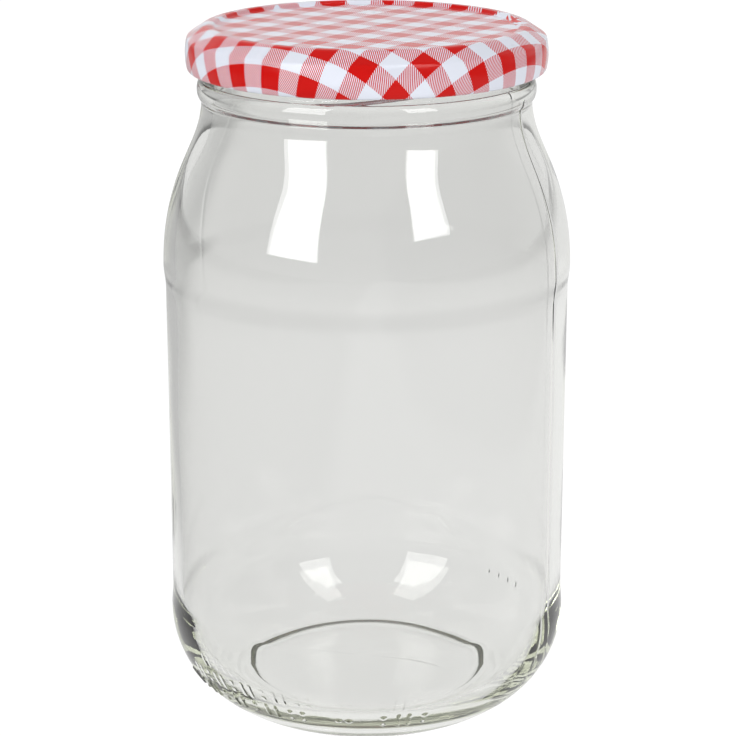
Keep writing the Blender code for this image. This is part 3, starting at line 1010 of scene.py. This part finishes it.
def table_material():
    """A white table that glows instead of being lit, a painted light: a painted pool of light brightest round
    the jar, and painted shade at the sides and far left; the camera sees it as plain white.
    """
    material, tree, shader = new_material("white_table")
    place = node(tree, "ShaderNodeTexCoord", (-1200, 0))
    split = node(tree, "ShaderNodeSeparateXYZ", (-1000, 0))
    tree.links.new(place.outputs["Object"], split.inputs[0])
    # Painted pool of light: the glow is strongest round the jar and eases down behind it, in front and to the
    # sides
    back = eased(tree, (-800, 200), split.outputs["Y"], *TABLE_BACK, TABLE_LEVEL, BACKDROP_LEVEL)
    front = eased(tree, (-800, -50), split.outputs["Y"], *TABLE_FRONT, TABLE_FRONT_SHARE, 1.0)
    aside = math_node(tree, (-1000, -300), "ABSOLUTE", split.outputs["X"])
    side = eased(tree, (-800, -300), aside, *TABLE_SIDE, 1.0, TABLE_SIDE_SHARE)
    level = math_node(tree, (-550, 100), "MULTIPLY", back, front)
    level = math_node(tree, (-350, 0), "MULTIPLY", level, side)
    # Painted shade: the glow drops to LEFT_SHADE beyond a slanted edge on the far left
    slanted = math_node(tree, (-1000, -500), "MULTIPLY", split.outputs["Y"], LEFT_EDGE_SLANT)
    across = math_node(tree, (-800, -500), "ADD", slanted, split.outputs["X"])
    left = eased(tree, (-600, -500), across, *LEFT_EDGE, LEFT_SHADE, 1.0)
    level = math_node(tree, (-250, -200), "MULTIPLY", level, left)
    # Painted light: other rays see the painted glow levels, and the camera sees an even white glow
    eye = node(tree, "ShaderNodeLightPath", (-550, 400))
    unseen = math_node(tree, (-350, 300), "SUBTRACT", 1.0, eye.outputs["Is Camera Ray"])
    hidden = math_node(tree, (-200, 100), "MULTIPLY", level, unseen)
    strength = math_node(tree, (-50, 200), "MULTIPLY_ADD", eye.outputs["Is Camera Ray"], CAMERA_WHITE, hidden)
    tree.links.new(strength, shader.inputs["Emission Strength"])
    shader.inputs["Emission Color"].default_value = (1.0, 1.0, 1.0, 1.0)
    shader.inputs["Base Color"].default_value = (0.02, 0.02, 0.02, 1.0)
    shader.inputs["Roughness"].default_value = 1.0
    shader.inputs["Specular IOR Level"].default_value = 0.0
    return material


# Table, light and camera

def make_table():
    """A wide round table just under the jar."""
    select_nothing()
    bpy.ops.mesh.primitive_circle_add(
        vertices=96, radius=TABLE_RADIUS, fill_type="NGON", location=(0.0, 0.0, -TABLE_DROP)
    )
    table = bpy.context.active_object
    table.name = "table"
    edit(table)
    bpy.ops.mesh.select_all(action="SELECT")
    bpy.ops.mesh.inset(thickness=TABLE_RIM)
    done()
    bpy.ops.object.transform_apply(location=True, rotation=False, scale=False)
    table.data.materials.append(table_material())


def soft_light(name, angles, radiance, fill):
    """An upright soft light beside the jar, which either only lights, as a fill, or is only mirrored."""
    side, half_width, low, high = angles
    turn = math.radians(side)
    outward = Vector((math.sin(turn), -math.cos(turn), 0.0))
    bottom = LIGHT_HEIGHT + LIGHT_DISTANCE * math.tan(math.radians(low))
    top = LIGHT_HEIGHT + LIGHT_DISTANCE * math.tan(math.radians(high))
    middle = outward * LIGHT_DISTANCE + Vector((0.0, 0.0, (bottom + top) / 2.0))
    bpy.ops.object.light_add(type="AREA", location=middle)
    light = bpy.context.active_object
    light.name = name
    light.rotation_euler = outward.to_track_quat("Z", "Y").to_euler()
    light.data.shape = "RECTANGLE"
    light.data.size = 2.0 * LIGHT_DISTANCE * math.tan(math.radians(half_width))
    light.data.size_y = top - bottom
    light.data.energy = radiance * light.data.size * light.data.size_y * math.pi
    light.visible_camera = False
    light.visible_diffuse = fill
    light.visible_glossy = not fill
    light.visible_transmission = not fill


def make_world():
    """A bright wall behind the jar in a dimmer room; the camera itself sees plain white."""
    world = bpy.data.worlds.new("studio")
    bpy.context.scene.world = world
    world.use_nodes = True
    tree = world.node_tree
    back = tree.nodes["Background"]
    place = node(tree, "ShaderNodeTexCoord", (-1000, 0))
    split = node(tree, "ShaderNodeSeparateXYZ", (-800, 0))
    tree.links.new(place.outputs["Generated"], split.inputs[0])
    depth = eased(tree, (-600, 100), split.outputs["Y"], *WALL_DEPTH, 0.0, 1.0)
    over = eased(tree, (-600, -200), split.outputs["Z"], *WALL_TOP, 1.0, 0.0)
    wall = math_node(tree, (-350, 0), "MULTIPLY", depth, over)
    level = math_node(tree, (-200, 0), "MULTIPLY_ADD", wall, BACKDROP_LEVEL - ROOM_LEVEL, ROOM_LEVEL)
    eye = node(tree, "ShaderNodeLightPath", (-350, 300))
    seen = math_node(tree, (-50, 100), "MAXIMUM", level, eye.outputs["Is Camera Ray"])
    tree.links.new(seen, back.inputs["Strength"])
    back.inputs["Color"].default_value = (1.0, 1.0, 1.0, 1.0)


def make_camera():
    """The camera at the photograph's place and angle."""
    tilt = math.radians(90.0 - CAMERA_DROP)
    bpy.ops.object.camera_add(location=CAMERA_PLACE, rotation=(tilt, 0.0, 0.0))
    camera = bpy.context.active_object
    camera.data.lens = CAMERA_LENS
    camera.data.sensor_width = CAMERA_SENSOR
    camera.data.clip_end = CAMERA_REACH
    bpy.context.scene.camera = camera


def place_piece(piece, replaced, materials):
    """Puts a finished piece on the jar's one body in place of its plain solid."""
    for material in materials:
        piece.data.materials.append(material)
    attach(piece, "root")
    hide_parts(replaced)


def let_light_through():
    """Lets light turn often enough inside the thick glass of the heel, which would otherwise go black."""
    light = bpy.context.scene.cycles
    light.max_bounces = LIGHT_BOUNCES
    light.glossy_bounces = LIGHT_BOUNCES
    light.transmission_bounces = LIGHT_BOUNCES


def main():
    """Builds the studio and the jar's three pieces."""
    make_camera()
    make_table()
    make_world()
    for name, angles in SOFTBOXES.items():
        soft_light(name, angles, SOFTBOX_RADIANCE, False)
    for name, angles in FILLS.items():
        soft_light(name, angles, FILL_RADIANCE, True)
    effects = (ripple_group(), handling_group())
    gingham = gingham_group()
    place_piece(make_jar(), "glass_jar", [glass_material(effects)])
    lid_finish = [print_material(gingham, effects), lacquer_material(effects)]
    place_piece(make_lid(), "lid", lid_finish)
    ring_finish = [compound_material(effects)]
    place_piece(make_sealing_ring(), "sealing_ring", ring_finish)
    bpy.context.scene.view_settings.view_transform = "Standard"
    let_light_through()


main()
